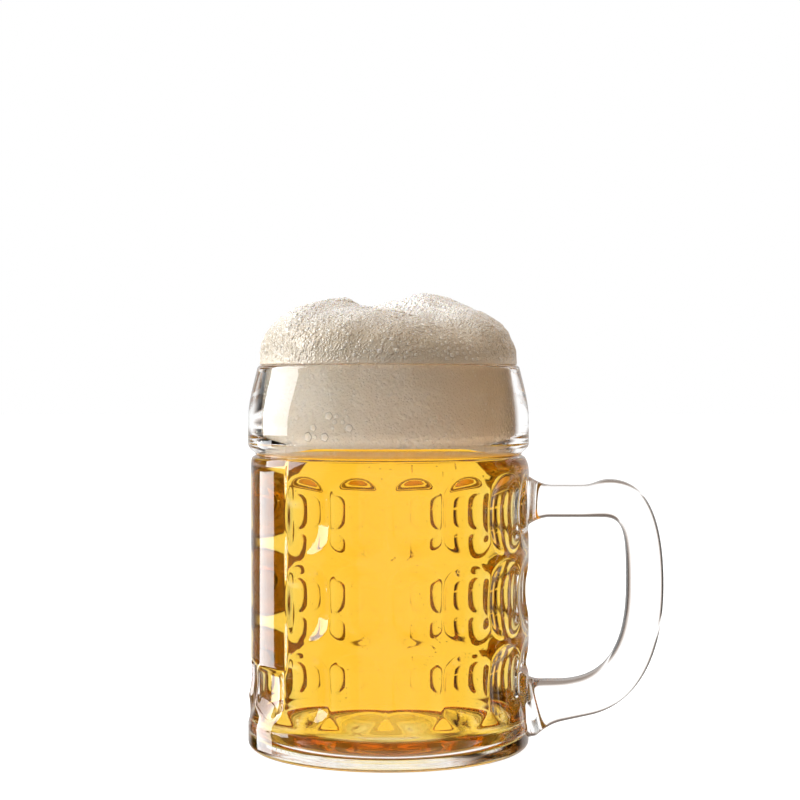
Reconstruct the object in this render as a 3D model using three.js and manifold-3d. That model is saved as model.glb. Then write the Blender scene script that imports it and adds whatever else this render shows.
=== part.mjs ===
// A half-litre dimpled glass beer mug, filled to the groove and topped with a head of foam.
// Millimetres, +Z up. The mug's axis is Z, the table is z = 0 and the handle points along +X.
import * as THREE from "three";
import { mergeVertices } from "three/addons/utils/BufferGeometryUtils.js";
import Module from "manifold-3d";

const wasm = await Module();
wasm.setup();

// Gap kept wherever two pieces meet
const CLEARANCE = 0.3;

// Glass body: foot and bowl
const BODY_RADIUS = 48;
const BODY_WALL = 6.5;
const FLOOR_THICKNESS = 6.5;
const FLOOR_ROUND = 5;
const FLOOR_RISE = 3;
const HEEL_ROUND = 2.5;
const FOOT_BAND = 8.5;
const FOOT_GROOVE_WIDTH = 8.2;
const FOOT_GROOVE_DEPTH = 0.7;

// Glass body: rows of dimples pressed in by a ball, counted round the whole mug
const DIMPLE_COLUMNS = 16;
const DIMPLE_ROWS = 3;
const DIMPLE_BALL = 26;
const DIMPLE_DEPTH = 3.4;
const DIMPLE_BASE = 12;
const ROW_PITCH = 28;

// Glass body: smooth panel opposite the handle, in place of the upper dimples there
const PANEL_COLUMNS = 4;
const PANEL_INSET = 1;
const PANEL_SILL = 17.1;
const PANEL_OVERRUN = 2.3;

// Glass body: shoulder, groove, collar and lip
const SHOULDER_HEIGHT = 6;
const SHOULDER_DROP = 1.4;
const GROOVE_DEPTH = 2.6;
const GROOVE_HALF_WIDTH = 0.9;
const COLLAR_HEIGHT = 30.3;
const COLLAR_FOOT = 3.8;
const COLLAR_STRAIGHT = 7.3;
const COLLAR_WALL = 4.4;
const NECK_HEIGHT = 8;
const RIM_INSET = 4.6;
const LIP_ROUND = 1.5;

// Handle, measured out from the body and up from the table
const HANDLE_REACH = 46;
const HANDLE_WIDTH = 16;
const HANDLE_ROUND = 4.5;
const GRIP_THICKNESS = 12.6;
const GRIP_LEVEL = 55;
const ARM_TOP = 89.1;
const ARM_THICKNESS = 11;
const ARM_BEND = 7.5;
const THUMB_RISE = 2;
const THUMB_INSET = 18.4;
const THUMB_RAMP = 7.2;
const FOOT_ARM_TOP = 22.5;
const FOOT_ARM_THICKNESS = 12;
const FOOT_ARM_SLOPE = 0.22;
const ROOT_FLARE = 2.8;
const ROOT_LENGTH = 7.7;

// Foam head: a dome whose rise is multiplied by two folds, which meet along a crease.
// The folds are given at places along the crease, and the crease by a point of its middle and its heading.
const CROWN_RISE = 20.5;
const CROWN_OVERLAP = 0.5;
const CREASE_MIDDLE = new THREE.Vector2(4, -8);
const CREASE_HEADING = THREE.MathUtils.degToRad(-40);
const FRONT_FOLD = [
  { along: -40, rise: 1.08 },
  { along: -20, rise: 1.16 },
  { along: -9, rise: 0.98 },
  { along: 2, rise: 0.93 },
  { along: 15, rise: 0.82 },
  { along: 28, rise: 0.68 },
  { along: 40, rise: 0.62 },
];
const FRONT_FOLD_EDGE = { start: -7, end: 5, drop: 0.45 };
const BACK_FOLD_FOOT = [
  { along: -30, rise: 0.9 },
  { along: -8, rise: 0.92 },
  { along: 2, rise: 0.86 },
  { along: 15, rise: 0.72 },
  { along: 28, rise: 0.6 },
  { along: 40, rise: 0.55 },
];
const BACK_FOLD_CREST = [
  { along: -30, rise: 1.04 },
  { along: -12, rise: 1.1 },
  { along: -2, rise: 1.25 },
  { along: 14, rise: 1.08 },
  { along: 30, rise: 1 },
];
const BACK_FOLD_WIDTH = 14;

// Facets
const TURN_FACETS = 64;
const CURVE_FACETS = 3;
const BALL_FACETS = 14;
const BALL_RINGS = 22;
const PAD_FACETS = 28;
const EDGE_FACETS = 3;
const HANDLE_FACETS = 9;
const CROWN_FACETS = 12;

// Levels and radii that follow from the sizes above
const boreRadius = BODY_RADIUS - BODY_WALL;
const dimpleHalf = Math.sqrt(2 * DIMPLE_BALL * DIMPLE_DEPTH - DIMPLE_DEPTH ** 2);
const dimpleTop = DIMPLE_BASE + 2 * dimpleHalf + (DIMPLE_ROWS - 1) * ROW_PITCH;
const grooveLevel = dimpleTop + SHOULDER_HEIGHT;
const rimLevel = grooveLevel + COLLAR_HEIGHT;
const lipLevel = rimLevel - LIP_ROUND;
const lipRadius = BODY_RADIUS - RIM_INSET;
const collarBore = BODY_RADIUS - COLLAR_WALL;
const columnAngle = (2 * Math.PI) / DIMPLE_COLUMNS;

// A closed three.js geometry as a solid that can be cut and joined
function solidOf(geometry) {
  const shell = new THREE.BufferGeometry();
  shell.setAttribute("position", geometry.getAttribute("position"));
  shell.setIndex(geometry.getIndex());
  const welded = mergeVertices(shell);
  return new wasm.Manifold(
    new wasm.Mesh({
      numProp: 3,
      vertProperties: welded.getAttribute("position").array,
      triVerts: new Uint32Array(welded.getIndex().array),
    }),
  );
}

// A solid as a three.js geometry
function geometryOf(solid) {
  const { vertProperties, triVerts } = solid.getMesh();
  const geometry = new THREE.BufferGeometry();
  geometry.setAttribute("position", new THREE.BufferAttribute(vertProperties, 3));
  geometry.setIndex(new THREE.BufferAttribute(triVerts, 1));
  geometry.computeVertexNormals();
  return geometry;
}

// A profile of radius and height, turned about the mug's axis
function turned(profile, curveFacets = CURVE_FACETS) {
  const points = profile.getPoints(curveFacets);
  if (THREE.ShapeUtils.isClockWise(points)) points.reverse();
  return new THREE.LatheGeometry(points, TURN_FACETS).rotateX(Math.PI / 2);
}

// The mug's outside from the middle of its base to the lip, grown outward by a margin
function outsideTo(profile, grow) {
  const radius = BODY_RADIUS + grow;
  const grooveRadius = radius - GROOVE_DEPTH;
  const collarFoot = grooveLevel + COLLAR_FOOT;
  const collarTop = collarFoot + COLLAR_STRAIGHT;
  const footGrooveTop = FOOT_BAND + FOOT_GROOVE_WIDTH;
  const heel = HEEL_ROUND + grow;
  profile.moveTo(0, -grow);
  profile.lineTo(radius - heel, -grow);
  profile.absarc(radius - heel, heel - grow, heel, -Math.PI / 2, 0, false);
  profile.lineTo(radius, FOOT_BAND);
  profile.quadraticCurveTo(
    radius - 2 * FOOT_GROOVE_DEPTH,
    (FOOT_BAND + footGrooveTop) / 2,
    radius,
    footGrooveTop,
  );
  profile.lineTo(radius, dimpleTop);
  profile.quadraticCurveTo(
    radius,
    (dimpleTop + grooveLevel) / 2,
    radius - SHOULDER_DROP,
    grooveLevel - GROOVE_HALF_WIDTH,
  );
  profile.lineTo(grooveRadius, grooveLevel);
  profile.quadraticCurveTo(radius, grooveLevel + GROOVE_HALF_WIDTH, radius, collarFoot);
  profile.lineTo(radius, collarTop);
  profile.bezierCurveTo(
    radius,
    (2 * collarTop + lipLevel) / 3,
    lipRadius + LIP_ROUND + grow + RIM_INSET / 3,
    (collarTop + 2 * lipLevel) / 3,
    lipRadius + LIP_ROUND + grow,
    lipLevel,
  );
}

// The mug's inside from the lip down to the level of the groove, shrunk by a margin
function collarInsideFrom(profile, shrink) {
  const bore = collarBore - shrink;
  const neckTop = grooveLevel + NECK_HEIGHT;
  const collarMiddle = (neckTop + lipLevel) / 2;
  profile.bezierCurveTo(
    lipRadius - LIP_ROUND - shrink,
    lipLevel,
    bore,
    collarMiddle,
    bore,
    neckTop,
  );
  profile.bezierCurveTo(
    bore,
    (neckTop + grooveLevel) / 2,
    boreRadius - shrink,
    (neckTop + grooveLevel) / 2,
    boreRadius - shrink,
    grooveLevel,
  );
}

// The bowl's inside from the level of the groove to the middle of its floor, shrunk by a margin
function bowlInsideTo(profile, shrink) {
  const bore = boreRadius - shrink;
  const floor = FLOOR_THICKNESS + shrink;
  profile.lineTo(bore, floor + FLOOR_ROUND);
  profile.absarc(bore - FLOOR_ROUND, floor + FLOOR_ROUND, FLOOR_ROUND, 0, -Math.PI / 2, true);
  profile.bezierCurveTo(
    bore * 0.53,
    floor,
    bore * 0.29,
    floor + FLOOR_RISE,
    0,
    floor + FLOOR_RISE,
  );
}

// The ball that presses one dimple; a margin makes it smaller all round
function dimpleBall(azimuth, level, margin) {
  const ball = new THREE.SphereGeometry(DIMPLE_BALL - margin, BALL_FACETS, BALL_RINGS);
  ball.rotateZ(Math.PI / 2);
  ball.translate(BODY_RADIUS - DIMPLE_DEPTH + DIMPLE_BALL, 0, level);
  ball.rotateZ(azimuth);
  return solidOf(ball);
}

// The block of space in front of the smooth panel, from a radius outward
function panelBlock(fromRadius) {
  const halfAngle = (PANEL_COLUMNS / 2) * columnAngle;
  const beyond = BODY_RADIUS + 2 * DIMPLE_BALL;
  const sector = new THREE.Shape();
  sector.absarc(0, 0, beyond, Math.PI - halfAngle, Math.PI + halfAngle, false);
  sector.absarc(0, 0, fromRadius, Math.PI + halfAngle, Math.PI - halfAngle, true);
  const sill = DIMPLE_BASE + PANEL_SILL;
  const block = new THREE.ExtrudeGeometry(sector, {
    depth: dimpleTop + PANEL_OVERRUN - sill,
    bevelEnabled: false,
    curveSegments: (PANEL_COLUMNS * TURN_FACETS) / DIMPLE_COLUMNS,
  });
  return solidOf(block.translate(0, 0, sill));
}

// Every dimple's ball in one solid: under the panel only the lowest row is left, stopped at its sill
function dimpleField(margin) {
  const panel = panelBlock(boreRadius);
  let field = null;
  for (let column = 0; column < DIMPLE_COLUMNS; column += 1) {
    const azimuth = (column + 0.5) * columnAngle;
    const underPanel = Math.abs(azimuth - Math.PI) < (PANEL_COLUMNS / 2) * columnAngle;
    const rows = underPanel ? 1 : DIMPLE_ROWS;
    for (let row = 0; row < rows; row += 1) {
      const level = DIMPLE_BASE + dimpleHalf + row * ROW_PITCH;
      const ball = dimpleBall(azimuth, level, margin);
      const cut = underPanel ? ball.subtract(panel) : ball;
      field = field ? field.add(cut) : cut;
    }
  }
  return field;
}

function glassBody() {
  const wall = new THREE.Path();
  outsideTo(wall, 0);
  wall.absarc(lipRadius, lipLevel, LIP_ROUND, 0, Math.PI, false);
  collarInsideFrom(wall, 0);
  bowlInsideTo(wall, 0);
  const blank = solidOf(turned(wall));
  return blank.subtract(dimpleField(0)).subtract(panelBlock(BODY_RADIUS - PANEL_INSET));
}

// Levels of the handle's two arms where they meet the body
const rootEnd = BODY_RADIUS - DIMPLE_DEPTH - 2 * HANDLE_ROUND;
const armBottom = ARM_TOP - ARM_THICKNESS;
const footArmEnd = BODY_RADIUS + HANDLE_REACH - 2 * GRIP_THICKNESS;
const footArmBottom = FOOT_ARM_TOP - FOOT_ARM_THICKNESS;
const footRootBottom = footArmBottom - (footArmEnd - BODY_RADIUS) * FOOT_ARM_SLOPE;

// The handle's side view: thumb rest, grip and foot arm outside, then the finger gap's edge back up
function handleOutline() {
  const gripX = BODY_RADIUS + HANDLE_REACH;
  const gapX = gripX - GRIP_THICKNESS;
  const thumbX = gripX - THUMB_INSET;
  const thumbTop = ARM_TOP + THUMB_RISE;
  const footX = BODY_RADIUS + ROOT_LENGTH;
  const outline = new THREE.Shape();
  outline.moveTo(rootEnd, ARM_TOP);
  outline.lineTo(thumbX - THUMB_RAMP, ARM_TOP);
  outline.bezierCurveTo(
    thumbX - THUMB_RAMP / 2,
    ARM_TOP,
    thumbX - THUMB_RAMP / 2,
    thumbTop,
    thumbX,
    thumbTop,
  );
  outline.bezierCurveTo(
    THREE.MathUtils.lerp(thumbX, gripX, 0.72),
    thumbTop,
    gripX,
    THREE.MathUtils.lerp(GRIP_LEVEL, thumbTop, 0.6),
    gripX,
    GRIP_LEVEL,
  );
  outline.bezierCurveTo(
    gripX,
    THREE.MathUtils.lerp(GRIP_LEVEL, footArmBottom, 0.66),
    footArmEnd + GRIP_THICKNESS,
    footArmBottom + GRIP_THICKNESS * FOOT_ARM_SLOPE,
    footArmEnd,
    footArmBottom,
  );
  outline.lineTo(rootEnd, footArmBottom - (footArmEnd - rootEnd) * FOOT_ARM_SLOPE);
  outline.lineTo(rootEnd, FOOT_ARM_TOP);
  outline.lineTo(footX, FOOT_ARM_TOP);
  outline.bezierCurveTo(
    THREE.MathUtils.lerp(footX, gapX, 0.75),
    FOOT_ARM_TOP,
    gapX,
    THREE.MathUtils.lerp(FOOT_ARM_TOP, GRIP_LEVEL, 0.35),
    gapX,
    GRIP_LEVEL,
  );
  outline.bezierCurveTo(
    gapX,
    THREE.MathUtils.lerp(GRIP_LEVEL, armBottom, 0.72),
    gapX,
    armBottom,
    gapX - ARM_BEND,
    armBottom,
  );
  outline.lineTo(rootEnd, armBottom);
  return outline;
}

// The swell of glass where an arm is fused to the body
function rootPad(bottom, top) {
  const pad = new THREE.SphereGeometry(1, PAD_FACETS, PAD_FACETS / 2);
  pad.rotateX(Math.PI / 2);
  pad.scale(
    DIMPLE_DEPTH + ROOT_LENGTH,
    HANDLE_WIDTH / 2 + ROOT_FLARE,
    (top - bottom) / 2 + ROOT_FLARE,
  );
  pad.translate(BODY_RADIUS - DIMPLE_DEPTH, 0, (bottom + top) / 2);
  return solidOf(pad);
}

// The outline as a bar with rounded edges, swelling at its roots and cut back to the body's dimpled side
function handle() {
  const bar = new THREE.ExtrudeGeometry(handleOutline(), {
    depth: HANDLE_WIDTH - 2 * HANDLE_ROUND,
    curveSegments: HANDLE_FACETS,
    bevelThickness: HANDLE_ROUND,
    bevelSize: HANDLE_ROUND,
    bevelOffset: -HANDLE_ROUND,
    bevelSegments: EDGE_FACETS,
  });
  bar.translate(0, 0, HANDLE_ROUND - HANDLE_WIDTH / 2);
  bar.rotateX(Math.PI / 2);
  const seat = new THREE.Path();
  outsideTo(seat, CLEARANCE);
  seat.lineTo(0, lipLevel);
  return solidOf(bar)
    .add(rootPad(armBottom, ARM_TOP))
    .add(rootPad(footRootBottom, FOOT_ARM_TOP))
    .subtract(solidOf(turned(seat)).subtract(dimpleField(CLEARANCE)));
}

function beer() {
  const pour = new THREE.Path();
  pour.moveTo(0, grooveLevel - CLEARANCE);
  pour.lineTo(boreRadius - CLEARANCE, grooveLevel - CLEARANCE);
  bowlInsideTo(pour, CLEARANCE);
  return solidOf(turned(pour));
}

// A fold's rise at a place along the crease, eased from each given place to the next
function foldRise(fold, along) {
  const next = fold.findIndex((stop) => along < stop.along);
  if (next === 0) return fold[0].rise;
  if (next < 0) return fold[fold.length - 1].rise;
  const share = THREE.MathUtils.smoothstep(along, fold[next - 1].along, fold[next].along);
  return THREE.MathUtils.lerp(fold[next - 1].rise, fold[next].rise, share);
}

// How many times as high as the plain dome the crown stands at a place on its plan
function crownSwell(x, y) {
  const place = new THREE.Vector2(x, y).sub(CREASE_MIDDLE);
  place.rotateAround(new THREE.Vector2(), -CREASE_HEADING);
  const { start, end, drop } = FRONT_FOLD_EDGE;
  const edge = 1 - drop * THREE.MathUtils.smoothstep(place.y, start, end);
  const front = foldRise(FRONT_FOLD, place.x) * edge;
  const foot = foldRise(BACK_FOLD_FOOT, place.x);
  const crest = foldRise(BACK_FOLD_CREST, place.x);
  const climb = THREE.MathUtils.smoothstep(place.y, 0, BACK_FOLD_WIDTH);
  const back = THREE.MathUtils.lerp(foot, crest, climb);
  return Math.max(front, back);
}

// The head fills the collar from the beer to the lip, and its crown domes over the lip
function foamHead() {
  const seatRound = LIP_ROUND + CLEARANCE;
  const overlapAngle = Math.acos(CROWN_OVERLAP / seatRound);
  const crownRadius = lipRadius + CROWN_OVERLAP;
  const crownFoot = lipLevel + seatRound * Math.sin(overlapAngle);
  const crownTop = rimLevel + CROWN_RISE;
  const fill = new THREE.Path();
  fill.moveTo(0, crownFoot);
  fill.lineTo(crownRadius, crownFoot);
  fill.absarc(lipRadius, lipLevel, seatRound, overlapAngle, Math.PI, false);
  collarInsideFrom(fill, CLEARANCE);
  fill.lineTo(0, grooveLevel);
  const crown = new THREE.Path();
  crown.moveTo(0, crownFoot);
  crown.lineTo(crownRadius, crownFoot);
  crown.bezierCurveTo(
    crownRadius,
    THREE.MathUtils.lerp(crownFoot, crownTop, 0.65),
    crownRadius * 0.82,
    crownTop,
    0,
    crownTop,
  );
  const folded = solidOf(turned(crown, CROWN_FACETS)).warp((place) => {
    const rise = place[2] - crownFoot;
    if (rise > CLEARANCE) place[2] = crownFoot + rise * crownSwell(place[0], place[1]);
  });
  return solidOf(turned(fill)).add(folded);
}

const clearGlass = new THREE.MeshStandardMaterial({
  color: 0xe6eeec,
  roughness: 0.05,
  metalness: 0,
  transparent: true,
  opacity: 0.35,
});
const paleBeer = new THREE.MeshStandardMaterial({ color: 0xf5b82e, roughness: 0.1, metalness: 0 });
const creamFoam = new THREE.MeshStandardMaterial({ color: 0xf4ecdc, roughness: 0.9, metalness: 0 });

const mug = new THREE.Group();
mug.name = "beer_mug";

function place(name, solid, material) {
  const mesh = new THREE.Mesh(geometryOf(solid), material);
  mesh.name = name;
  mug.add(mesh);
}

place("glass_body", glassBody(), clearGlass);
place("handle", handle(), clearGlass);
place("beer", beer(), paleBeer);
place("foam_head", foamHead(), creamFoam);

export default mug;
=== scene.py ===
import math
import random

import bmesh
import bpy
from mathutils import Matrix, Vector, noise
from mathutils.geometry import interpolate_bezier


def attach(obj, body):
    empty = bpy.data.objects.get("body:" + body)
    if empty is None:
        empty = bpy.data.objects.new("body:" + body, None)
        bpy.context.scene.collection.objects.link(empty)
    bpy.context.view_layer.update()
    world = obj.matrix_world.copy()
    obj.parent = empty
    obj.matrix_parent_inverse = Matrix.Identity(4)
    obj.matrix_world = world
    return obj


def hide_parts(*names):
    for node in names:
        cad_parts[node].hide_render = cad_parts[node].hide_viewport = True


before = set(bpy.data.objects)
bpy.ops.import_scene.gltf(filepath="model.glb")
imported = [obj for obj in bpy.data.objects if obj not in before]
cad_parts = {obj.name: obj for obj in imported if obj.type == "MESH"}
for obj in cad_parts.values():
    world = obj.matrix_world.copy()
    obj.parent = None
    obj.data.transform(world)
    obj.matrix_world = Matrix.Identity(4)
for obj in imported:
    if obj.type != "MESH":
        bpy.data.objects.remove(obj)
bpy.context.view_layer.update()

# Sizes are in millimetres, as in the solid model, and pieces are scaled to metres when they are finished
MM = 0.001

# Foot and bowl of the glass, with a low ring and a hollow under the foot
BODY_RADIUS = 48.0
BORE_RADIUS = 41.5
FLOOR_LEVEL = 2.5
FLOOR_ROUND = 9.0
FLOOR_RISE = 6.5
FLOOR_BENDS = (22.0, 12.0)
HEEL_ROUND = 2.5
RING_INSIDE = 40.0
RING_HEIGHT = 0.6
RING_TAPER = 0.5
HOLLOW_SHOULDER = (30.0, 0.9)
HOLLOW_DEPTH = 4.5
HOLLOW_BENDS = (12.0, 20.0)
FOOT_BAND = 8.5
FOOT_GROOVE_WIDTH = 8.2
FOOT_GROOVE_DEPTH = 0.7
BODY_TURNS = 416
DIMPLE_STEPS = 90
WEDGE_DOUBLINGS = 4
ROUND_PULL = 0.552
HEEL_PULL = 0.55

# Dimples pressed into the bowl by a ball, and the smooth panel opposite the handle
DIMPLE_COLUMNS = 16
DIMPLE_ROWS = 3
DIMPLE_BALL = 26.0
DIMPLE_DEPTH = 3.4
DIMPLE_BASE = 12.0
DIMPLE_STRAIGHTNESS = 1.2
ROW_PITCH = 28.0
RIDGE_SOFTNESS = 0.8
RIDGE_CROWDING = 0.45
PANEL_HALF_ANGLE = math.radians(46.5)
PANEL_INSET = 1.0
PANEL_SILL = 29.1
PANEL_EDGE = 1.1

# Shoulder, groove, collar and lip, with the points that bend the lines between them
DIMPLE_HALF = math.sqrt(DIMPLE_BALL**2 - (DIMPLE_BALL - DIMPLE_DEPTH) ** 2)
DIMPLE_TOP = DIMPLE_BASE + (DIMPLE_ROWS - 1) * ROW_PITCH + 2 * DIMPLE_HALF
GROOVE_LEVEL = DIMPLE_TOP + 6.0
GROOVE_RADIUS = 45.4
COLLAR_FOOT = GROOVE_LEVEL + 3.8
COLLAR_TOP = COLLAR_FOOT + 7.3
COLLAR_BORE = 43.6
NECK_TOP = GROOVE_LEVEL + 8.0
LIP_LEVEL = GROOVE_LEVEL + 28.8
LIP_RADIUS = 43.4
LIP_ROUND = 1.5
LIP_APPROACH = 46.43
LIP_DROP = 2.0
SHOULDER_END = (46.6, GROOVE_LEVEL - 0.9)
SHOULDER_BENDS = ((BODY_RADIUS, DIMPLE_TOP + 2), (47.5, DIMPLE_TOP + 3.7))
GROOVE_BENDS = ((45.9, GROOVE_LEVEL - 0.5), (GROOVE_RADIUS, GROOVE_LEVEL - 0.4))
COLLAR_BENDS = ((GROOVE_RADIUS, GROOVE_LEVEL + 0.8), (BODY_RADIUS, GROOVE_LEVEL + 1.6))

# Handle, whose two roots flare onto plain seats on the bowl, given by their levels and half heights
HANDLE_HALF_WIDTH = 8.0
HANDLE_SQUARENESS = 2.7
HANDLE_SIDES = 56
ROOT_FLARE = 2.8
ROOT_LENGTH = 7.7
ROOT_SIDE_FLARE = 2.0
ROOT_SIDE_LENGTH = 3.2
ROOT_MOST = 1.3
ROOT_DEPTH = 1.0
ROOT_SINK = 0.25
ROOT_CAP = (0.05, 0.35, 0.65, 0.85)
ROOT_SEATS = ((83.6, 8.3), (14.7, 10.6))
ROOT_SEAT_EDGE = 3.0
SEATING_PASSES = 6

# Drink: the beer reaches a little into the glass, so that no air shows between them, and the foam stays
# just off the glass
WET_OVERLAP = 0.15
FOAM_GAP = 0.1
BEER_LEVEL = GROOVE_LEVEL + 3.7
BEER_TURNS = 128
GAS_BUBBLE_COUNT = 170
GAS_BUBBLE_RADII = (0.12, 0.32)

# Foam: a dome whose rise is multiplied by two folds, which meet along a crease that runs to the right
# front. Each fold has stops of places along the crease and shares of the plain dome's rise.
FOAM_TURNS = 400
CROWN_RADIUS = 43.9
CROWN_FOOT = LIP_LEVEL + LIP_ROUND + 0.5
CROWN_TOP = 150.5
CROWN_SIDE = 13.0
CROWN_FLAT = 36.0
CREASE_MIDDLE = Vector((4.0, -8.0))
CREASE_HEADING = math.radians(-40.0)
FRONT_FOLD = ((-40, 1.08), (-20, 1.16), (-9, 0.98), (2, 0.93), (15, 0.82), (28, 0.68), (40, 0.62))
BACK_FOLD_FOOT = ((-30, 0.9), (-8, 0.92), (2, 0.86), (15, 0.72), (28, 0.6), (40, 0.55))
BACK_FOLD_CREST = ((-30, 1.04), (-12, 1.1), (-2, 1.235), (14, 1.08), (30, 1.0))
CREASE_SOFTNESS = 0.05
LUMP_HEIGHT = 0.7
STREAK_HEIGHT = 0.45

# Bubbles on the foam: how many, their least and greatest radius, and how rare the large ones are
PATCH_BUBBLES = (10, 1.0, 2.6, 1.0)
CREASE_BUBBLES = (190, 0.9, 2.8, 2.0)
FRONT_BUBBLES = (480, 0.5, 1.5, 2.5)
CROWN_BUBBLES = (250, 0.45, 1.1, 2.5)
COLLAR_BUBBLES = (900, 0.35, 0.9, 2.5)
BUBBLE_SINK = 0.77
BUBBLE_SPACING = 0.7
CREASE_REACH = 15.0
PATCH_MIDDLE = Vector((-18.0, -39.7))
PATCH_REACH = 7.5
PATCH_LEVELS = (106.5, 115.0)

# Studio: dark flags between the white screens. Each has a heading from +X, a half width and a soft edge
# in degrees, and the rise of its lower and upper edges as seen from the mug.
FLAGS = (
    (15.0, 32.0, 9.0, -0.55, 0.9),
    (148.0, 28.0, 8.0, -0.55, -0.035),
    (148.0, 28.0, 8.0, 0.015, 0.9),
    (228.5, 13.5, 2.0, -0.55, 0.9),
)
FLAG_FOOT_SOFTNESS = 0.02
FLAG_TOP_SOFTNESS = 0.01
SCREEN_LIGHT = 1.25
MIRRORED_LOSS = 0.6
DARK_TINT = (1.0, 0.75, 0.6, 1.0)

# Studio: where the room turns dark above, below and towards the camera, as rises and depths of a look
# from the mug, and how dark it is there
CEILING_EDGE = (0.38, 0.52)
CEILING_DARK = 0.85
GROUND_EDGE = (-0.58, -0.72)
GROUND_DARK = 0.7
FRONT_EDGE = (0.3, -0.1)
FRONT_DARK = 0.8
FRONT_WALL_EDGE = (-0.65, -0.9)
FRONT_WALL_LIGHT = 0.2

# Studio: the light on foam and floor from all round, then from the left, the right, above and below
ROOM_LIGHT = 0.14
LEFT_HEADING = math.radians(195.0)
LEFT_LIGHT = 1.9
RIGHT_HEADING = 0.0
RIGHT_LIGHT = 0.7
SIDE_EDGE = (0.5, 1.0)
ABOVE_EDGE = (0.3, 1.0)
ABOVE_LIGHT = 0.22
BELOW_EDGE = (-0.15, -0.6)
BELOW_LIGHT = 2.6
SHADE_EDGE = (0.7, -0.3)
SHADE_TINT = (1.0, 0.74, 0.52, 1.0)
FLOOR_GLOW = 0.95

# Lamps: heading in degrees from +X, level, width and height in metres, power in watts, and whether the
# glass mirrors them
LAMPS = (
    ("left_screen", 168.0, 0.36, (0.48, 0.6), 6.5, True),
    ("low_screen", 152.0, -0.06, (0.32, 0.24), 1.4, True),
    ("right_screen", 18.0, 0.25, (0.3, 0.9), 1.5, False),
    ("back_screen", 90.0, 0.6, (1.2, 0.6), 5.5, False),
)
LAMP_DISTANCE = 0.72
LAMP_TARGET = Vector((0, 0, 0.09))
LAMP_COLOUR = (0.94, 0.97, 1.0)
GLASS_BOUNCES = 40

# Camera, from the photograph's vanishing line and the ellipses of the rim
CAMERA_DISTANCE = 625.0
CAMERA_HEIGHT = 125.0
CAMERA_SIDE_ANGLE = math.radians(1.0)
CAMERA_TURN = math.radians(0.36)
CAMERA_TILT = math.radians(0.63)
CAMERA_LENS = 82.1
CAMERA_SENSOR = 36.0


class Wire:
    """One output socket of a shader. Arithmetic on it adds Math nodes."""

    def __init__(self, shader, socket):
        self.shader = shader
        self.socket = socket

    def output(self, name):
        return Wire(self.shader, self.socket.node.outputs[name])

    def math(self, operation, *operands):
        return self.shader.add("ShaderNodeMath", {"operation": operation}, dict(enumerate(operands)))

    def __add__(self, other):
        return self.math("ADD", self, other)

    def __radd__(self, other):
        return self.math("ADD", other, self)

    def __sub__(self, other):
        return self.math("SUBTRACT", self, other)

    def __rsub__(self, other):
        return self.math("SUBTRACT", other, self)

    def __mul__(self, other):
        return self.math("MULTIPLY", self, other)

    def __rmul__(self, other):
        return self.math("MULTIPLY", other, self)


class Shader:
    """A node tree that is filled by one method."""

    def __init__(self, tree):
        self.tree = tree
        tree.nodes.clear()

    def add(self, kind, settings=None, sockets=None, output=0):
        """Adds a node: its settings are set first, then its sockets' values or links."""
        node = self.tree.nodes.new(kind)
        for name, value in (settings or {}).items():
            setattr(node, name, value)
        for name, value in (sockets or {}).items():
            if isinstance(value, Wire):
                self.tree.links.new(value.socket, node.inputs[name])
            else:
                node.inputs[name].default_value = value
        return Wire(self, node.outputs[output]) if node.outputs else None

    def object_place(self):
        return self.add("ShaderNodeTexCoord", output="Object")

    def height(self, place):
        return self.add("ShaderNodeSeparateXYZ", {}, {"Vector": place}, output="Z")

    def cells(self, place, scale):
        return self.add("ShaderNodeTexVoronoi", {}, {"Vector": place, "Scale": scale}, output="Distance")

    def patches(self, place, scale, detail):
        return self.add("ShaderNodeTexNoise", {}, {"Vector": place, "Scale": scale, "Detail": detail})

    def map_range(self, value, low, high, bottom=0.0, top=1.0):
        sockets = {"Value": value, "From Min": low, "From Max": high, "To Min": bottom, "To Max": top}
        return self.add("ShaderNodeMapRange", {"interpolation_type": "SMOOTHSTEP"}, sockets)

    def blend(self, factor, first, second):
        sockets = {0: factor, 6: first, 7: second}
        return self.add("ShaderNodeMix", {"data_type": "RGBA"}, sockets, output=2)

    def relief(self, strength, distance, height):
        sockets = {"Strength": strength, "Distance": distance, "Height": height}
        return self.add("ShaderNodeBump", {}, sockets)

    def finish_with(self, surface_sockets, **others):
        """Ends a material with a surface of these sockets, and any other input of its output."""
        surface = self.add("ShaderNodeBsdfPrincipled", {}, surface_sockets)
        self.add("ShaderNodeOutputMaterial", {}, {"Surface": surface, **others})


def new_finish(name):
    finish = bpy.data.materials.new(name)
    finish.use_nodes = True
    return finish, Shader(finish.node_tree)


def glass_finish(name):
    """Clear pressed glass: faint waves left by the mould, and fine scuffs low on the foot."""
    finish, shader = new_finish(name)
    place = shader.object_place()
    waves = shader.patches(place, 55.0, 2.0)
    scuffs = shader.patches(place, 900.0, 3.0)
    low_down = shader.map_range(shader.height(place), 0.004, 0.0, 0.0, 0.12)
    shader.finish_with({
        "Base Color": (0.985, 0.99, 0.985, 1.0),
        "Roughness": low_down * shader.map_range(scuffs, 0.5, 0.7),
        "IOR": 1.5,
        "Transmission Weight": 1.0,
        "Normal": shader.relief(0.05, 0.0008, waves),
    })
    return finish


def beer_finish():
    """Pale beer: clear, with its gold taken up over the depth of the mug."""
    finish, shader = new_finish("pale_beer")
    gold = {"Color": (1.0, 0.868, 0.26, 1.0), "Density": 54.0}
    shader.finish_with({
        "Base Color": (1.0, 1.0, 1.0, 1.0),
        "Roughness": 0.0,
        "IOR": 1.34,
        "Transmission Weight": 1.0,
    }, Volume=shader.add("ShaderNodeVolumeAbsorption", {}, gold))
    return finish


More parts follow.
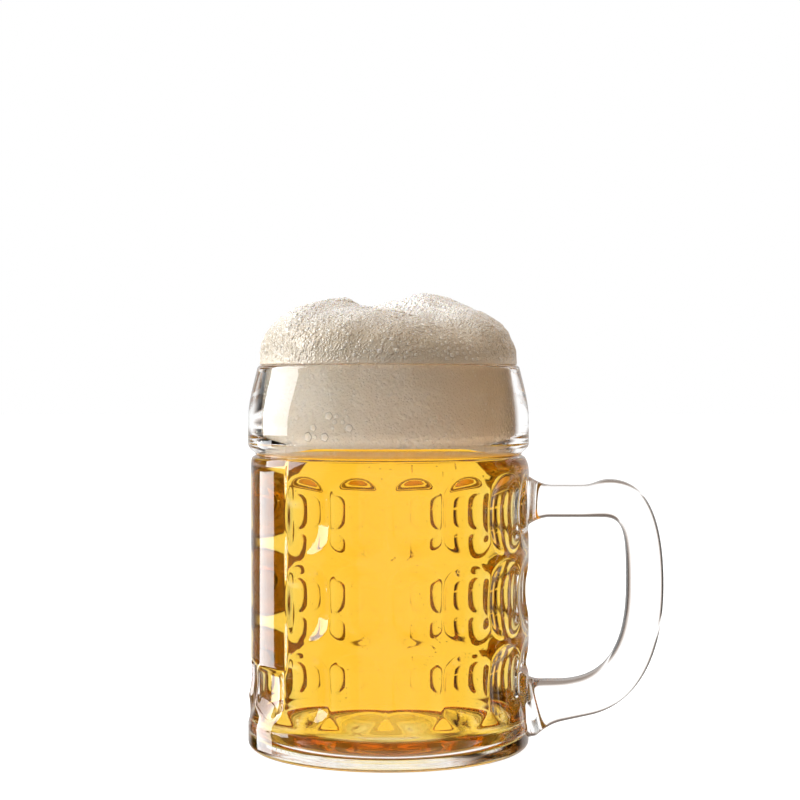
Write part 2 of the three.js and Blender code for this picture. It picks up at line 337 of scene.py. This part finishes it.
def gas_bubble_finish():
    """Gas in the beer: its index is that of air against beer."""
    finish, shader = new_finish("beer_bubble")
    shader.finish_with({
        "Base Color": (1.0, 0.97, 0.9, 1.0),
        "Roughness": 0.0,
        "IOR": 0.75,
        "Transmission Weight": 1.0,
    })
    return finish


def foam_tone(shader, place, patches):
    """Cream in the collar; painted shade makes the crown darker where it begins, and painted light makes
    its top nearly white.
    """
    patchy = shader.map_range(patches, 0.35, 0.65)
    wet = shader.blend(patchy, (0.74, 0.63, 0.49, 1.0), (0.79, 0.7, 0.58, 1.0))
    # Painted shade: the crown's darker tone stands in for the shade on its lower front.
    painted_crown_shade = shader.blend(patchy, (0.54, 0.46, 0.35, 1.0), (0.62, 0.54, 0.43, 1.0))
    height = shader.height(place)
    # Painted light: the crown turns nearly white towards its top, for the light that falls there.
    crown = shader.blend(shader.map_range(height, 0.138, 0.152), painted_crown_shade, (0.9, 0.88, 0.84, 1.0))
    over_lip = shader.map_range(height, LIP_LEVEL * MM, (CROWN_FOOT + 4) * MM)
    return shader.blend(over_lip, wet, crown)


def foam_finish():
    """Cream foam: fine wet bubbles, with coarser ones between."""
    finish, shader = new_finish("cream_foam")
    place = shader.object_place()
    patches = shader.patches(place, 60.0, 3.0)
    fine = shader.map_range(shader.cells(place, 1250.0), 0.65, 0.15)
    coarse = shader.map_range(shader.cells(place, 560.0), 0.6, 0.15)
    larger = coarse * shader.map_range(patches, 0.38, 0.56)
    froth = (0.5 * fine + larger) * shader.map_range(shader.height(place), 0.128, 0.134, 0.3, 0.75)
    shader.finish_with({
        # The base colour holds painted shade on the crown and painted light on its top, from foam_tone.
        "Base Color": foam_tone(shader, place, patches),
        "Roughness": 0.22,
        "Specular IOR Level": 0.5,
        "Subsurface Weight": 0.25,
        "Subsurface Radius": (1.0, 0.8, 0.55),
        "Subsurface Scale": 0.001,
        "Normal": shader.relief(1.0, 0.0006, froth),
    })
    return finish


def foam_underside_finish():
    """Foam where it floats on the beer: matt, and stained by it."""
    finish, shader = new_finish("foam_underside")
    between = shader.map_range(shader.cells(shader.object_place(), 700.0), 0.1, 0.7)
    shader.finish_with({
        "Base Color": shader.blend(between, (1.0, 0.95, 0.85, 1.0), (0.96, 0.87, 0.68, 1.0)),
        "Roughness": 0.9,
        "Specular IOR Level": 0.0,
    })
    return finish


def foam_bubble_finish():
    """One bubble's skin: cream like the foam, with painted shade at its dark foot, a painted highlight
    on its pale rim and wet glints.
    """
    finish, shader = new_finish("foam_bubble")
    dome = shader.add("ShaderNodeAttribute", {"attribute_name": "dome"}, output="Fac")
    place = shader.object_place()
    # The cream comes from foam_tone, so it holds the same painted shade and painted light as the foam.
    cream = foam_tone(shader, place, shader.patches(place, 60.0, 3.0))
    # Painted highlight: each bubble's rim is blended towards a pale near white, for its lit, reflecting
    # edge.
    rim = shader.map_range(dome, 0.84, 0.95, 0.5, 0.1)
    upper = shader.blend(rim, cream, (1.0, 0.96, 0.88, 1.0))
    shader.finish_with({
        # Painted shade: a dark ring at the foot of each dome, where it meets the foam.
        "Base Color": shader.blend(shader.map_range(dome, 0.77, 0.84), (0.42, 0.34, 0.25, 1.0), upper),
        "Roughness": 0.1,
        "Specular IOR Level": 0.8,
        "Subsurface Weight": 0.4,
        "Subsurface Radius": (1.0, 0.8, 0.55),
        "Subsurface Scale": 0.001,
    })
    return finish


def run_to(profile, end, count, out=None, into=None):
    """Carries a profile on to end in count steps: straight, or bent by its two handles."""
    start = profile[-1]
    end = Vector(end)
    out = start.lerp(end, 1 / 3) if out is None else Vector(out)
    into = start.lerp(end, 2 / 3) if into is None else Vector(into)
    profile.extend(interpolate_bezier(start, out, into, end, count + 1)[1:])


def turned(profile, turns):
    """A profile of radii and levels, spun round the mug's axis into a closed shell.

    One wedge is spun and then doubled round the axis, which is far quicker than one full spin.
    """
    shell = bmesh.new()
    verts = [shell.verts.new((point.x, 0.0, point.y)) for point in profile]
    edges = [shell.edges.new(pair) for pair in zip(verts, verts[1:])]
    wedges = 2**WEDGE_DOUBLINGS
    wedge = math.tau / wedges
    axis = {"cent": (0, 0, 0), "axis": (0, 0, 1)}
    bmesh.ops.spin(shell, geom=verts + edges, angle=wedge, steps=turns // wedges, **axis)
    for doubling in range(WEDGE_DOUBLINGS):
        whole = shell.verts[:] + shell.edges[:] + shell.faces[:]
        copy = bmesh.ops.duplicate(shell, geom=whole)["geom"]
        copied = [part for part in copy if isinstance(part, bmesh.types.BMVert)]
        turn = Matrix.Rotation(wedge * 2**doubling, 3, "Z")
        bmesh.ops.rotate(shell, verts=copied, cent=(0, 0, 0), matrix=turn)
    bmesh.ops.remove_doubles(shell, verts=shell.verts, dist=1e-4)
    bmesh.ops.recalc_face_normals(shell, faces=shell.faces)
    return shell


def finished_piece(name, shell, finish, node=None):
    """Makes a piece of the mug from a shell in millimetres."""
    bmesh.ops.scale(shell, vec=(MM, MM, MM), verts=shell.verts)
    for face in shell.faces:
        face.smooth = True
    mesh = bpy.data.meshes.new(name)
    shell.to_mesh(mesh)
    shell.free()
    mesh.materials.append(finish)
    piece = bpy.data.objects.new(name, mesh)
    bpy.context.scene.collection.objects.link(piece)
    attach(piece, "root")
    if node:
        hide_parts(node)
    return piece


def soft_least(first, second, softness):
    """The lesser of two lengths, with the corner between them rounded."""
    near = max(softness - abs(first - second), 0.0) / softness
    return min(first, second) - near * near * softness / 4


def soft_step(value, low, high):
    """Goes from 0 to 1 as value goes from low to high, with both ends eased."""
    share = min(max((value - low) / (high - low), 0.0), 1.0)
    return share * share * (3 - 2 * share)


def ball_radius(turn, rise):
    """How far out a dimple's ball begins, seen from the axis, or None where it isn't met."""
    centre = BODY_RADIUS - DIMPLE_DEPTH + DIMPLE_BALL
    along = centre * math.cos(turn)
    room = along**2 - centre**2 - rise**2 + DIMPLE_BALL**2
    return along - math.sqrt(room) if room > 0 else None


def dimpled_radius(plain, angle, level):
    """The outside radius at an angle and level, with the dimples, the panel and the roots' seats."""
    radius = plain
    column_turn = math.tau / DIMPLE_COLUMNS
    column = math.floor(angle / column_turn)
    row = round((level - DIMPLE_BASE - DIMPLE_HALF) / ROW_PITCH)
    row = min(max(row, 0), DIMPLE_ROWS - 1)
    rise = level - (DIMPLE_BASE + DIMPLE_HALF + row * ROW_PITCH)
    rise = DIMPLE_HALF * (abs(rise) / DIMPLE_HALF) ** DIMPLE_STRAIGHTNESS
    for near_column in (column - 1, column, column + 1):
        pressed = ball_radius(angle - (near_column + 0.5) * column_turn, rise)
        if pressed is not None:
            radius = soft_least(radius, pressed, RIDGE_SOFTNESS)
    off_panel = (abs(abs(angle) - math.pi) - PANEL_HALF_ANGLE) * BODY_RADIUS
    within = soft_step(-off_panel, -PANEL_EDGE, PANEL_EDGE)
    within *= soft_step(level, PANEL_SILL - PANEL_EDGE, PANEL_SILL + PANEL_EDGE)
    smooth = soft_least(plain, BODY_RADIUS - PANEL_INSET, RIDGE_SOFTNESS)
    radius += (smooth - radius) * within
    aside = abs(BODY_RADIUS * angle) - HANDLE_HALF_WIDTH - ROOT_FLARE
    for seat_level, half_height in ROOT_SEATS:
        off_seat = max(aside, abs(level - seat_level) - half_height)
        radius = plain + (radius - plain) * soft_step(off_seat, -0.5, ROOT_SEAT_EDGE)
    return radius


def outside_profile():
    """The bowl's outside, from the middle of its underside to the top of the lip."""
    profile = [Vector((0.0, HOLLOW_DEPTH))]
    run_to(profile, HOLLOW_SHOULDER, 10, *[(reach, HOLLOW_DEPTH) for reach in HOLLOW_BENDS])
    run_to(profile, (RING_INSIDE - RING_TAPER, RING_HEIGHT), 6)
    run_to(profile, (RING_INSIDE, 0), 4)
    run_to(profile, (BODY_RADIUS - HEEL_ROUND, 0), 3)
    heel_bend = HEEL_ROUND * (1 - HEEL_PULL)
    heel_bends = (BODY_RADIUS - heel_bend, 0), (BODY_RADIUS, heel_bend)
    run_to(profile, (BODY_RADIUS, HEEL_ROUND), 8, *heel_bends)
    run_to(profile, (BODY_RADIUS, FOOT_BAND), 4)
    groove_top = FOOT_BAND + FOOT_GROOVE_WIDTH
    groove_third = FOOT_GROOVE_WIDTH / 3
    groove_reach = BODY_RADIUS - FOOT_GROOVE_DEPTH * 4 / 3
    groove_bends = (groove_reach, FOOT_BAND + groove_third), (groove_reach, groove_top - groove_third)
    run_to(profile, (BODY_RADIUS, groove_top), 10, *groove_bends)
    run_to(profile, (BODY_RADIUS, DIMPLE_TOP), DIMPLE_STEPS)
    run_to(profile, SHOULDER_END, 8, *SHOULDER_BENDS)
    run_to(profile, (GROOVE_RADIUS, GROOVE_LEVEL), 5, *GROOVE_BENDS)
    run_to(profile, (BODY_RADIUS, COLLAR_FOOT), 10, *COLLAR_BENDS)
    run_to(profile, (BODY_RADIUS, COLLAR_TOP), 2)
    taper = (LIP_LEVEL - COLLAR_TOP) / 3
    taper_bends = (BODY_RADIUS, COLLAR_TOP + taper), (LIP_APPROACH, LIP_LEVEL - taper)
    run_to(profile, (LIP_RADIUS + LIP_ROUND, LIP_LEVEL), 12, *taper_bends)
    lip_bend = LIP_ROUND * ROUND_PULL
    lip_top = LIP_LEVEL + LIP_ROUND
    lip_bends = (LIP_RADIUS + LIP_ROUND, LIP_LEVEL + lip_bend), (LIP_RADIUS + lip_bend, lip_top)
    run_to(profile, (LIP_RADIUS, lip_top), 6, *lip_bends)
    return profile


def carry_lip(profile):
    """Carries a profile from the top of the lip round to its inside."""
    inside = LIP_RADIUS - LIP_ROUND
    bend = LIP_ROUND * ROUND_PULL
    bends = (LIP_RADIUS - bend, LIP_LEVEL + LIP_ROUND), (inside, LIP_LEVEL + bend)
    run_to(profile, (inside, LIP_LEVEL), 6, *bends)


def carry_collar(profile, wet):
    """Carries a profile from the lip down the collar's inside, moved into the glass by wet."""
    collar = COLLAR_BORE + wet
    bore = BORE_RADIUS + wet
    middle = (NECK_TOP + LIP_LEVEL) / 2
    below_lip = (LIP_RADIUS - LIP_ROUND + wet, LIP_LEVEL - LIP_DROP)
    run_to(profile, (collar, NECK_TOP), 16, below_lip, (collar, middle))
    neck = (NECK_TOP + GROOVE_LEVEL) / 2
    run_to(profile, (bore, GROOVE_LEVEL), 10, (collar, neck), (bore, neck))


def carry_bowl(profile, wet):
    """Carries a profile from the groove down the bowl's inside to the middle of its floor."""
    side = BORE_RADIUS + wet
    floor = FLOOR_LEVEL - wet
    bend = FLOOR_ROUND * (1 - ROUND_PULL)
    run_to(profile, (side, FLOOR_LEVEL + FLOOR_ROUND), 6)
    corner_bends = (side, FLOOR_LEVEL + bend), (BORE_RADIUS - bend, floor)
    run_to(profile, (BORE_RADIUS - FLOOR_ROUND, floor), 10, *corner_bends)
    middle = floor + FLOOR_RISE
    run_to(profile, (0, middle), 14, (FLOOR_BENDS[0], floor), (FLOOR_BENDS[1], middle))


def make_glass_body(finish):
    profile = outside_profile()
    carry_lip(profile)
    carry_collar(profile, 0.0)
    carry_bowl(profile, 0.0)
    shell = turned(profile, BODY_TURNS)
    crowding = RIDGE_CROWDING / DIMPLE_COLUMNS
    for vert in shell.verts:
        radius = vert.co.xy.length
        if radius < 1:
            continue
        angle = math.atan2(vert.co.y, vert.co.x)
        angle -= crowding * math.sin(DIMPLE_COLUMNS * angle)
        if radius > GROOVE_RADIUS - 0.5 and FOOT_BAND < vert.co.z < GROOVE_LEVEL:
            radius = dimpled_radius(radius, angle, vert.co.z)
        vert.co.x = radius * math.cos(angle)
        vert.co.y = radius * math.sin(angle)
    finished_piece("mug_glass", shell, finish, "glass_body")


def handle_edges():
    """The handle's outer and inner edges, point for point, as places out from the axis and up."""
    outer = [Vector((40.0, 89.1))]
    run_to(outer, (66.0, 89.1), 40)
    run_to(outer, (75.6, 91.1), 12, (71.0, 89.1), (71.6, 91.1))
    run_to(outer, (94.0, 55.0), 30, (88.85, 91.1), (94.0, 76.66))
    run_to(outer, (68.8, 10.5), 36, (94.0, 25.63), (81.4, 13.27))
    run_to(outer, (40.0, 4.16), 44)
    inner = [Vector((40.0, 78.1))]
    run_to(inner, (64.0, 78.1), 40)
    run_to(inner, (73.0, 78.1), 12)
    run_to(inner, (81.4, 55.0), 30, (81.4, 78.1), (81.4, 71.6))
    run_to(inner, (57.7, 22.5), 36, (81.4, 33.9), (74.98, 22.5))
    run_to(inner, (40.0, 22.5), 44)
    return outer, inner


def on_bowl(place, sink):
    """Moves a place along the handle's direction until it lies sink deep in the bowl's outside."""
    x, y, z = place
    for _ in range(SEATING_PASSES):
        reach = dimpled_radius(BODY_RADIUS, math.atan2(y, x), z) - sink
        x = math.sqrt(max(reach * reach - y * y, 0.0))
    return Vector((x, y, z))


def near_bowl(out, length):
    """How far a flare of this length has opened at a place out from the axis."""
    past = max(BODY_RADIUS + length - out, 0.0) / length
    return min(past, ROOT_MOST) ** 2


def squared(part):
    """Moves a part of a round section's radius out towards a square one's."""
    return math.copysign(abs(part) ** (2 / HANDLE_SQUARENESS), part)


def handle_ring(shell, outer, inner, shrink=1.0):
    """One section of the handle, a squarish oval between its outer and inner edge."""
    ring = bmesh.ops.create_circle(shell, segments=HANDLE_SIDES, radius=1.0)["verts"]
    middle = (outer + inner) / 2
    half = (outer - inner) / 2
    flare = ROOT_FLARE * near_bowl(middle.x, ROOT_LENGTH)
    side_flare = ROOT_SIDE_FLARE * near_bowl(middle.x, ROOT_SIDE_LENGTH)
    for vert in ring:
        across = squared(vert.co.x) * shrink
        sideways = squared(vert.co.y) * shrink
        point = middle + half * across * (1 + flare / half.length)
        vert.co = (point.x, sideways * (HANDLE_HALF_WIDTH + side_flare), point.y)
    return ring


def ring_edges(ring):
    """The edges that run round a ring, each one once."""
    within = set(ring)
    edges = [edge for vert in ring for edge in vert.link_edges if set(edge.verts) <= within]
    return list(dict.fromkeys(edges))


def make_handle(finish):
    """The handle as a row of rings, closed at both roots by smaller rings that lie on the bowl."""
    shell = bmesh.new()
    outer, inner = handle_edges()
    root = BODY_RADIUS - ROOT_DEPTH
    kept = [pair for pair in zip(outer, inner) if (pair[0].x + pair[1].x) / 2 > root]
    rings = [handle_ring(shell, *kept[0], shrink) for shrink in ROOT_CAP]
    rings += [handle_ring(shell, *pair) for pair in kept]
    rings += [handle_ring(shell, *kept[-1], shrink) for shrink in reversed(ROOT_CAP)]
    cap = len(ROOT_CAP) + 1
    seated = rings[:cap] + rings[-cap:]
    for ring in rings:
        for vert in ring:
            seat = on_bowl(vert.co, ROOT_SINK)
            if vert.co.x < seat.x or ring in seated:
                vert.co = seat
    for first, second in zip(rings, rings[1:]):
        bmesh.ops.bridge_loops(shell, edges=ring_edges(first) + ring_edges(second))
    for ring in (rings[0], rings[-1]):
        bmesh.ops.contextual_create(shell, geom=ring_edges(ring))
    bmesh.ops.recalc_face_normals(shell, faces=shell.faces)
    finished_piece("mug_handle", shell, finish, "handle")


def collar_inside(wet):
    """The collar's inside from the lip down to the groove."""
    profile = [Vector((LIP_RADIUS - LIP_ROUND + wet, LIP_LEVEL))]
    carry_collar(profile, wet)
    return profile


def make_beer(finish):
    neck = [point for point in collar_inside(WET_OVERLAP) if point.y < BEER_LEVEL]
    profile = [Vector((0, BEER_LEVEL))]
    run_to(profile, (neck[0].x, BEER_LEVEL), 10)
    profile.extend(neck)
    carry_bowl(profile, WET_OVERLAP)
    shell = turned(profile, BEER_TURNS)
    finished_piece("mug_beer", shell, finish, "beer")


def ball_cluster(balls):
    """Many small balls in one shell, from their centres, radii and tops.

    Each corner keeps its height on its own ball, from -1 to 1, in the attribute named dome.
    """
    pattern = bmesh.new()
    domes = pattern.verts.layers.float.new("dome")
    bmesh.ops.create_icosphere(pattern, subdivisions=2, radius=1.0)
    for vert in pattern.verts:
        vert[domes] = vert.co.z
    ball = bpy.data.meshes.new("ball")
    pattern.to_mesh(ball)
    pattern.free()
    shell = bmesh.new()
    for centre, radius, top in balls:
        turn = top.to_track_quat("Z", "Y").to_matrix().to_4x4()
        placed = ball.copy()
        placed.transform(Matrix.Translation(centre) @ turn @ Matrix.Scale(radius, 4))
        shell.from_mesh(placed)
        bpy.data.meshes.remove(placed)
    bpy.data.meshes.remove(ball)
    return shell


def make_gas_bubbles(finish):
    """Gas rising through the beer."""
    chance = random.Random(12)
    balls = []
    for _ in range(GAS_BUBBLE_COUNT):
        angle = chance.uniform(0, math.tau)
        radius = (BORE_RADIUS - 2) * math.sqrt(chance.random())
        level = chance.uniform(FLOOR_LEVEL + FLOOR_RISE + 1, GROOVE_LEVEL - 1.5)
        centre = Vector((radius * math.cos(angle), radius * math.sin(angle), level))
        balls.append((centre, chance.uniform(*GAS_BUBBLE_RADII), Vector((0, 0, 1))))
    finished_piece("beer_bubbles", ball_cluster(balls), finish)


def foam_profile():
    """The foam from the middle of its underside up the collar, over the lip and onto the plain dome."""
    collar = [point for point in collar_inside(-FOAM_GAP) if point.y > BEER_LEVEL]
    profile = [Vector((0, BEER_LEVEL - WET_OVERLAP))]
    run_to(profile, (collar[-1].x, BEER_LEVEL - WET_OVERLAP), 12)
    profile.extend(reversed(collar))
    seat = LIP_LEVEL + LIP_ROUND + FOAM_GAP
    run_to(profile, (LIP_RADIUS, seat), 6, (collar[0].x, LIP_LEVEL + 0.9), (LIP_RADIUS - 0.9, seat))
    overhang_bends = (LIP_RADIUS + 0.3, seat), (CROWN_RADIUS, CROWN_FOOT - 0.2)
    run_to(profile, (CROWN_RADIUS, CROWN_FOOT), 3, *overhang_bends)
    dome_bends = (CROWN_RADIUS, CROWN_FOOT + CROWN_SIDE), (CROWN_FLAT, CROWN_TOP)
    run_to(profile, (0, CROWN_TOP), 110, *dome_bends)
    return profile


def eased(value, stops):
    """Reads a smooth line that runs through stops of places and sizes."""
    for (low, first), (high, second) in zip(stops, stops[1:]):
        if value < high:
            return first + (second - first) * soft_step(value, low, high)
    return stops[-1][1]


def crown_swell(x, y):
    """How the folds change the plain dome's rise, and how far along and past the crease a place is."""
    place = (Vector((x, y)) - CREASE_MIDDLE) @ Matrix.Rotation(CREASE_HEADING, 2)
    along, past = place
    front = eased(along, FRONT_FOLD) * (1 - 0.45 * soft_step(past, -7, 5))
    foot = eased(along, BACK_FOLD_FOOT)
    back = foot + (eased(along, BACK_FOLD_CREST) - foot) * soft_step(past, 0, 14)
    return -soft_least(-front, -back, CREASE_SOFTNESS), along, past


def shape_crown(shell):
    """Raises the folds from the plain dome, with soft lumps, and streaks on the back fold."""
    for vert in shell.verts:
        if vert.co.z <= CROWN_FOOT:
            continue
        swell, along, past = crown_swell(vert.co.x, vert.co.y)
        rise = vert.co.z - CROWN_FOOT
        vert.co.z = CROWN_FOOT + rise * swell
        outward = Vector((vert.co.x, vert.co.y, rise * 2)).normalized()
        lumps = noise.noise(vert.co * 0.07) + 0.4 * noise.noise(vert.co * 0.2)
        streaks = noise.noise(Vector((along * 0.07, past * 0.55, vert.co.z * 0.4)))
        relief = LUMP_HEIGHT * lumps + STREAK_HEIGHT * streaks * soft_step(past, 0, 4)
        vert.co += outward * relief * soft_step(rise, 0, 6)
    shell.normal_update()


def in_patch(place):
    bottom, top = PATCH_LEVELS
    return bottom < place.z < top and (place.xy - PATCH_MIDDLE).length < PATCH_REACH


def crowded(made, place, size):
    """Whether a bubble of this size would sit too close to one that is already made."""
    return any((place - other).length < (size + radius) * BUBBLE_SPACING for other, radius, _ in made)


def make_foam_bubbles(foam_shell, finish):
    """Domes of single bubbles: large by the crease, small elsewhere and behind the collar's glass."""
    chance = random.Random(5)
    crown = [vert for vert in foam_shell.verts if vert.co.z > CROWN_FOOT + 0.5]
    front = [vert for vert in crown if crown_swell(vert.co.x, vert.co.y)[2] < -1]
    crease = [vert for vert in front if crown_swell(vert.co.x, vert.co.y)[2] > -CREASE_REACH]
    collar = [vert for vert in foam_shell.verts if BEER_LEVEL + 1 < vert.co.z < LIP_LEVEL - 1]
    patch = [vert for vert in collar if in_patch(vert.co)]
    made = []
    for seats, (count, least, most, rarity) in (
        (patch, PATCH_BUBBLES),
        (crease, CREASE_BUBBLES),
        (front, FRONT_BUBBLES),
        (crown, CROWN_BUBBLES),
        (collar, COLLAR_BUBBLES),
    ):
        wanted = len(made) + count
        while len(made) < wanted:
            seat = chance.choice(seats)
            size = least + (most - least) * chance.random() ** rarity
            if crowded(made, seat.co, size):
                continue
            made.append((seat.co - seat.normal * size * BUBBLE_SINK, size, seat.normal.copy()))
    finished_piece("foam_bubbles", ball_cluster(made), finish)


def make_foam(finish, underside_finish, skin_finish):
    shell = turned(foam_profile(), FOAM_TURNS)
    shape_crown(shell)
    make_foam_bubbles(shell, skin_finish)
    for face in shell.faces:
        if face.calc_center_median().z < BEER_LEVEL:
            face.material_index = 1
    foam = finished_piece("mug_foam", shell, finish, "foam_head")
    foam.data.materials.append(underside_finish)


def make_floor():
    """A floor that is white to the camera, takes the mug's shadow and lets the glass see past it."""
    finish, shader = new_finish("white_floor")
    path = shader.add("ShaderNodeLightPath", output="Is Camera Ray")
    glow = shader.add("ShaderNodeEmission", {}, {"Color": (1, 1, 1, 1), "Strength": FLOOR_GLOW * path})
    matt = shader.add("ShaderNodeBsdfDiffuse", {}, {"Color": (0.35, 0.35, 0.35, 1)})
    lit = shader.add("ShaderNodeAddShader", {}, {0: glow, 1: matt})
    clear = shader.add("ShaderNodeBsdfTransparent")
    through = path.output("Is Glossy Ray") + path.output("Is Transmission Ray")
    surface = shader.add("ShaderNodeMixShader", {}, {0: through, 1: lit, 2: clear})
    shader.add("ShaderNodeOutputMaterial", {}, {"Surface": surface})
    shell = bmesh.new()
    bmesh.ops.create_circle(shell, cap_ends=True, segments=96, radius=6.0)
    mesh = bpy.data.meshes.new("floor")
    shell.to_mesh(mesh)
    shell.free()
    mesh.materials.append(finish)
    floor = bpy.data.objects.new("floor", mesh)
    floor.location.z = -0.0002
    bpy.context.scene.collection.objects.link(floor)


def screen_share(shader, turn, rise):
    """How much of the white screens a look from the mug meets between the flags."""
    screens = 1.0
    for middle, half_width, softness, bottom, top in FLAGS:
        off = turn.math("COSINE", turn - math.radians(middle))
        near = math.cos(math.radians(half_width - softness))
        far = math.cos(math.radians(half_width + softness))
        across = shader.map_range(off, far, near)
        above = shader.map_range(rise, bottom - FLAG_FOOT_SOFTNESS, bottom + FLAG_FOOT_SOFTNESS)
        below = shader.map_range(rise, top + FLAG_TOP_SOFTNESS, top - FLAG_TOP_SOFTNESS)
        screens = screens - across * above * below
    return screens


def make_studio():
    """White all round for the camera. The glass also meets dark flags between white screens.

    Matt surfaces, which lit picks out, get a softer light of their own from the sides.
    """
    world = bpy.data.worlds.new("studio")
    bpy.context.scene.world = world
    world.use_nodes = True
    shader = Shader(world.node_tree)
    path = shader.add("ShaderNodeLightPath", output="Is Camera Ray")
    lit = path.math("MINIMUM", path.output("Diffuse Depth"), 1.0)
    look = shader.add("ShaderNodeTexCoord", output="Generated")
    heading = shader.add("ShaderNodeSeparateXYZ", {}, {"Vector": look})
    depth = heading.output("Y")
    rise = heading.output("Z")
    turn = path.math("ARCTAN2", depth, heading.output("X"))
    high = shader.map_range(rise, *CEILING_EDGE)
    low = shader.map_range(rise, *GROUND_EDGE)
    front = shader.map_range(depth, *FRONT_EDGE)
    wall = shader.map_range(depth, *FRONT_WALL_EDGE)
    towards_camera = 1 - FRONT_DARK * front + FRONT_WALL_LIGHT * wall
    screens = screen_share(shader, turn, rise)
    bright = screens * (1 - CEILING_DARK * high) * (1 - GROUND_DARK * low) * towards_camera
    seen = bright * (SCREEN_LIGHT - MIRRORED_LOSS * path.output("Is Reflection Ray"))
    off_left = path.math("COSINE", turn - LEFT_HEADING)
    off_right = path.math("COSINE", turn - RIGHT_HEADING)
    left = shader.map_range(off_left, *SIDE_EDGE)
    right = shader.map_range(off_right, *SIDE_EDGE)
    above = shader.map_range(rise, *ABOVE_EDGE)
    below = shader.map_range(rise, *BELOW_EDGE)
    sides = ROOM_LIGHT + LEFT_LIGHT * left + RIGHT_LIGHT * right
    ambient = sides + ABOVE_LIGHT * above + BELOW_LIGHT * below
    around = seen * (1 - lit) + ambient * lit
    shade = shader.map_range(off_left, *SHADE_EDGE)
    tint = shader.blend(lit * shade, (1, 1, 1, 1), SHADE_TINT)
    background = shader.add("ShaderNodeBackground", {}, {
        "Color": shader.blend((1 - bright) * (1 - lit) * (1 - path), tint, DARK_TINT),
        "Strength": path + (1 - path) * around,
    })
    shader.add("ShaderNodeOutputWorld", {}, {"Surface": background})


def make_lamps():
    """Soft lamps that face the mug and aren't seen themselves, apart from their reflections."""
    for name, heading, level, size, power, mirrored in LAMPS:
        lamp = bpy.data.lights.new(name, "AREA")
        lamp.color = LAMP_COLOUR
        lamp.shape = "RECTANGLE"
        lamp.size, lamp.size_y = size
        lamp.energy = power
        stand = bpy.data.objects.new(name, lamp)
        turn = math.radians(heading)
        stand.location = (LAMP_DISTANCE * math.cos(turn), LAMP_DISTANCE * math.sin(turn), level)
        stand.rotation_euler = (LAMP_TARGET - stand.location).to_track_quat("-Z", "Y").to_euler()
        stand.visible_camera = False
        stand.visible_transmission = False
        stand.visible_glossy = mirrored
        bpy.context.scene.collection.objects.link(stand)


def make_camera():
    camera = bpy.data.objects.new("camera", bpy.data.cameras.new("camera"))
    camera.data.lens = CAMERA_LENS
    camera.data.sensor_width = CAMERA_SENSOR
    camera.location = Vector((
        CAMERA_DISTANCE * math.sin(CAMERA_SIDE_ANGLE),
        -CAMERA_DISTANCE * math.cos(CAMERA_SIDE_ANGLE),
        CAMERA_HEIGHT,
    )) * MM
    camera.rotation_euler = (math.pi / 2 - CAMERA_TILT, 0, CAMERA_SIDE_ANGLE - CAMERA_TURN)
    bpy.context.scene.collection.objects.link(camera)
    bpy.context.scene.camera = camera


make_glass_body(glass_finish("clear_glass"))
make_handle(glass_finish("handle_glass"))
make_beer(beer_finish())
make_gas_bubbles(gas_bubble_finish())
make_foam(foam_finish(), foam_underside_finish(), foam_bubble_finish())
make_floor()
make_studio()
make_lamps()
make_camera()

bpy.context.scene.cycles.max_bounces = GLASS_BOUNCES
bpy.context.scene.cycles.transmission_bounces = GLASS_BOUNCES
bpy.context.scene.cycles.glossy_bounces = GLASS_BOUNCES
bpy.context.scene.view_settings.view_transform = "Standard"
